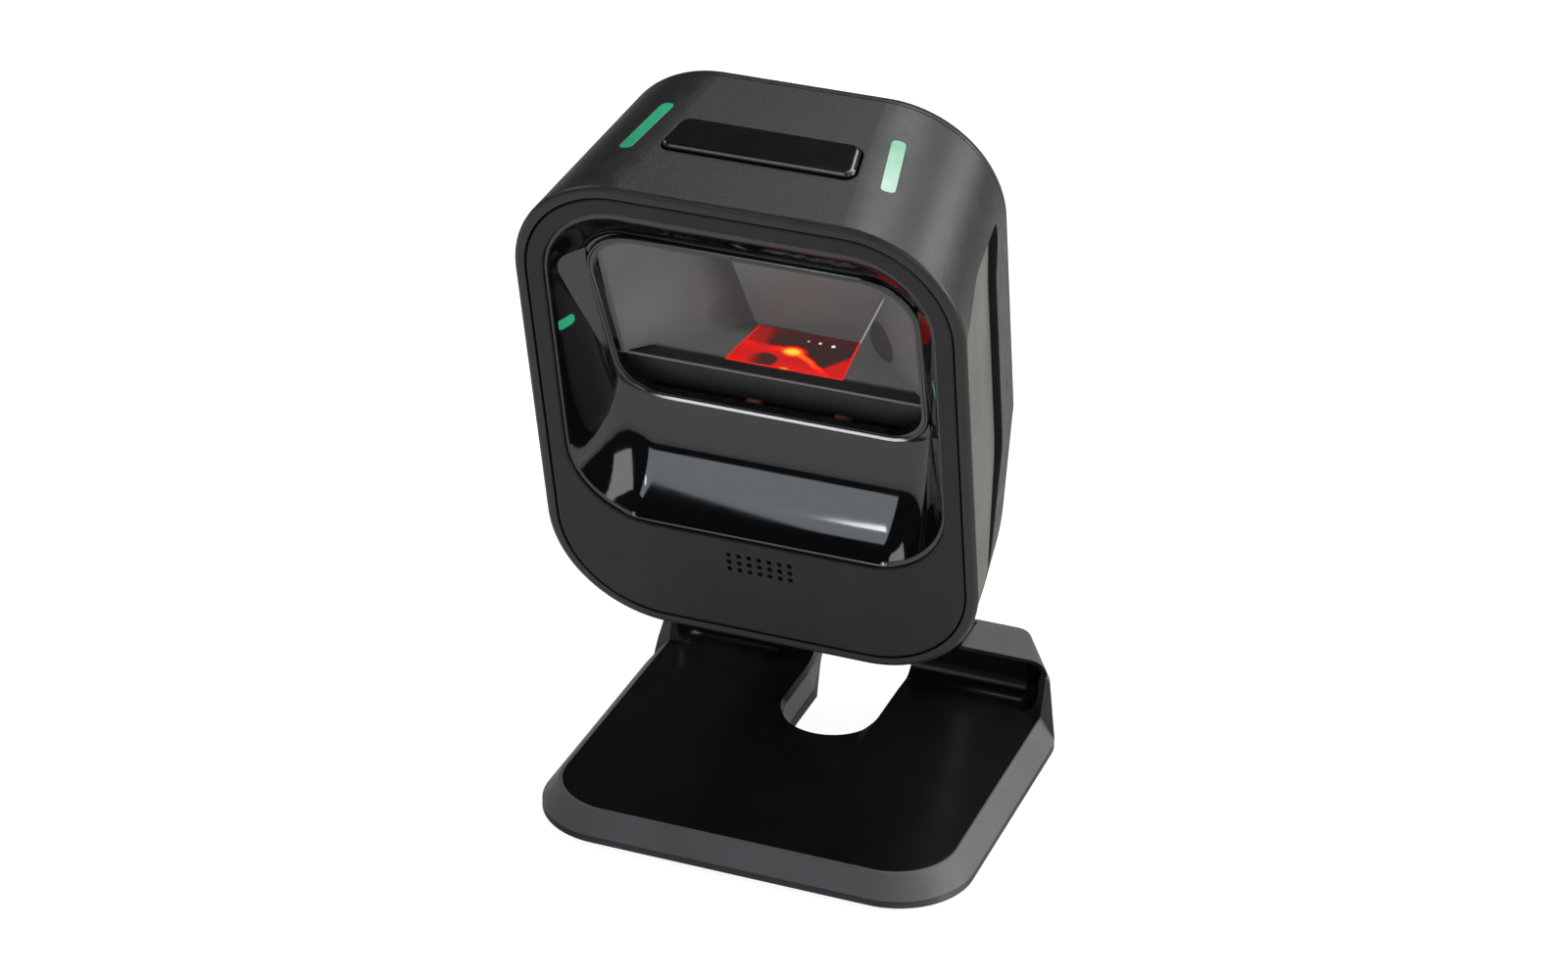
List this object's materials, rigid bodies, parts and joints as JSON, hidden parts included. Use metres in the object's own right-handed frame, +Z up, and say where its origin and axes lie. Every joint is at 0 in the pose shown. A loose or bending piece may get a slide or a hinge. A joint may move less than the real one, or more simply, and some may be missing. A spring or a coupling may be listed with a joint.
{
  "type": "presentation barcode scanner",
  "caption": "Hands-free barcode scanner: a tilting head with a slanted window, recessed scoop, trigger button and light bars, on a short neck and a weighted base with a cord notch.",
  "frame": {"origin": "on the table, under the middle of the object's bounding box", "axes": "+Z up, +X to the right seen from the front, and the reading window faces -Y"},
  "size_m": [0.0848, 0.0906, 0.144],
  "materials": {
    "case_dark": "fine matte texture, dark grey",
    "case_warm": "spark-textured, warm grey",
    "case_black": "matte black",
    "gloss_black": "polished black",
    "window_glass": "clear, coated",
    "lens_glass": "coated lens",
    "engine_red": "red filter lit from below",
    "mirror_face": "front-coated mirror",
    "green_board": "solder mask",
    "chip_black": "moulded chip",
    "connector_white": "natural nylon",
    "led_white": "clear lamp body",
    "light_green": "translucent green light guide",
    "light_pale": "translucent pale green light guide",
    "contact_gold": "gold plated",
    "speaker_frame": "moulded speaker box",
    "mesh_cloth": "fine woven mesh",
    "foam_black": "closed-cell foam",
    "steel": "zinc plated",
    "washer_plastic": "natural acetal",
    "rubber_black": "soft, non-slip"
  },
  "bodies": {
    "stand": {"base_cover": "case_warm", "deck_mat": "gloss_black", "base_tray": "case_black", "ballast_plate": "steel", "base_screws": "steel", "rubber_feet": "rubber_black", "neck": "case_black", "neck_back_cover": "case_black", "neck_screws": "steel", "hinge_pin": "steel", "friction_washers": "washer_plastic", "spring_washers": "steel", "pin_caps": "case_black"},
    "head": {"head_shell": "case_dark", "face_plate": "case_dark", "window_bezel": "gloss_black", "window_frame": "gloss_black", "scan_window": "window_glass", "inner_shroud": "case_black", "fold_mirror": "mirror_face", "engine_window": "engine_red", "engine_bracket": "case_black", "imager_board": "green_board", "image_sensor": "chip_black", "lens_holder": "case_black", "lens_barrel": "case_black", "front_lens": "lens_glass", "illumination_leds": "led_white", "main_board": "green_board", "board_chips": "chip_black", "board_connectors": "connector_white", "interface_board": "green_board", "interface_jack": "case_black", "jack_contacts": "contact_gold", "speaker": "speaker_frame", "speaker_mesh": "mesh_cloth", "speaker_gasket": "foam_black", "rear_cover": "case_dark", "rear_cover_screws": "steel", "top_board": "green_board", "indicator_leds": "led_white", "trigger_switch": "case_black", "hinge_knuckle": "case_black", "knuckle_screws": "steel", "side_panel_right": "case_warm", "side_panel_left": "case_warm", "light_bar_right": "light_pale", "light_bar_left": "light_green", "recess_light_right": "light_green", "recess_light_left": "light_green"},
    "button": {"trigger_button": "gloss_black"},
    "plunger": {"switch_plunger": "connector_white"}
  },
  "joints": [
    {"name": "head_tilt", "type": "hinge", "parent": "stand", "child": "head", "pos_m": [0, 0.008, 0.0588], "axis": [1, 0, 0], "range_deg": [-25, 20]},
    {"name": "button_press", "type": "slide", "parent": "head", "child": "button", "axis": [0, 0.225, -0.9744], "range_m": [0, 0.0006], "stiffness_N_per_m": 2500, "springref_m": -0.0004},
    {"name": "plunger_press", "type": "slide", "parent": "head", "child": "plunger", "axis": [0, 0.225, -0.9744], "range_m": [0, 0.0006]}
  ],
  "couplings": [
    {"joint": "plunger_press", "follows": "button_press", "ratio": 1}
  ]
}
